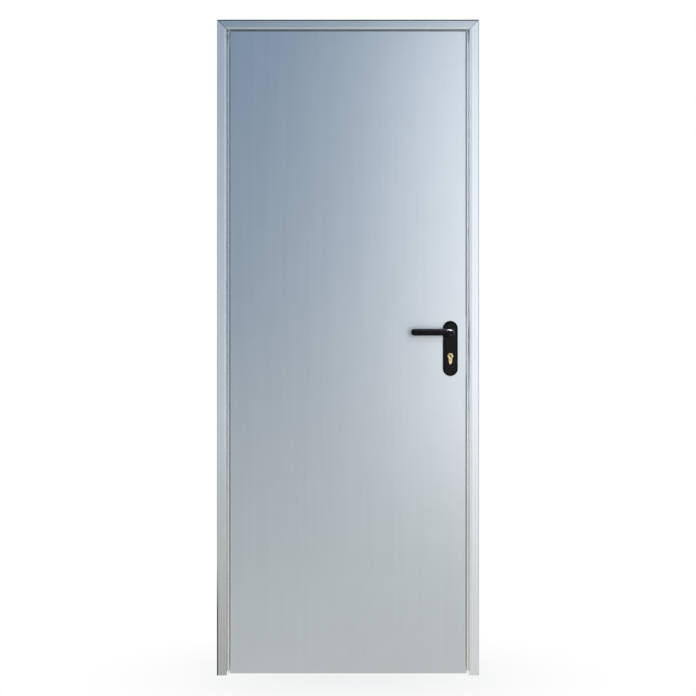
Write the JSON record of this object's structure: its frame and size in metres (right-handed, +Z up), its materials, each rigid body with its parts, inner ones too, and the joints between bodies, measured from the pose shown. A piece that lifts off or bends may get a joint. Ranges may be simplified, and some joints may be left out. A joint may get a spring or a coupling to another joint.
{
  "type": "steel utility door",
  "caption": "Galvanised steel utility door: a flat rebated leaf hung in a mitred sheet-metal frame, with a black lever set on a long plate and a brass profile cylinder.",
  "frame": {"origin": "on the wall face of the hinge jamb, at floor level, halfway across its front lip", "axes": "+X from the hinge jamb to the lock jamb, +Y from the push side to the pull side, +Z up"},
  "size_m": [0.8, 0.171, 2],
  "materials": {
    "frame_sheet": "galvanised sheet, satin",
    "leaf_sheet": "galvanised sheet, satin, with fine upright roll marks",
    "zinc_plate": "zinc-plated steel, satin",
    "honeycomb": "raw board",
    "brass": "satin brass",
    "black_nylon": "black nylon, satin"
  },
  "bodies": {
    "frame": {"hinge_jamb": "frame_sheet", "lock_jamb": "frame_sheet", "head_rail": "frame_sheet", "strike_box": "frame_sheet", "hinge_corner_cleat": "zinc_plate", "lock_corner_cleat": "zinc_plate", "hinge_anchor_lower": "zinc_plate", "hinge_anchor_middle": "zinc_plate", "hinge_anchor_upper": "zinc_plate", "lock_anchor_lower": "zinc_plate", "lock_anchor_middle": "zinc_plate", "lock_anchor_upper": "zinc_plate", "lower_hinge_frame_wing": "zinc_plate", "upper_hinge_frame_wing": "zinc_plate", "lower_hinge_pin": "zinc_plate", "upper_hinge_pin": "zinc_plate"},
    "leaf": {"front_skin": "leaf_sheet", "back_skin": "leaf_sheet", "leaf_core": "honeycomb", "bottom_channel": "leaf_sheet", "lower_hinge_leaf_wing": "zinc_plate", "upper_hinge_leaf_wing": "zinc_plate", "lock_body": "zinc_plate", "lock_forend": "zinc_plate", "latch_bolt": "zinc_plate", "dead_bolt": "zinc_plate", "cylinder_body": "brass", "rear_plug": "brass", "front_plate": "black_nylon", "rear_plate": "black_nylon"},
    "lever": {"front_lever": "black_nylon", "rear_lever": "black_nylon", "spindle": "zinc_plate"},
    "plug": {"front_plug": "brass"}
  },
  "joints": [
    {"name": "leaf_swing", "type": "hinge", "parent": "frame", "child": "leaf", "pos_m": [0.0175, 0.044, 0], "axis": [0, 0, 1], "range_deg": [0, 170]},
    {"name": "lever_turn", "type": "hinge", "parent": "leaf", "child": "lever", "pos_m": [0.712, -0.06, 1.046], "axis": [0, -1, 0], "range_deg": [0, 45], "stiffness_Nm_per_rad": 1, "springref_deg": -45.84},
    {"name": "plug_turn", "type": "hinge", "parent": "leaf", "child": "plug", "pos_m": [0.712, -0.0155, 0.974], "axis": [0, 1, 0], "continuous": true}
  ]
}
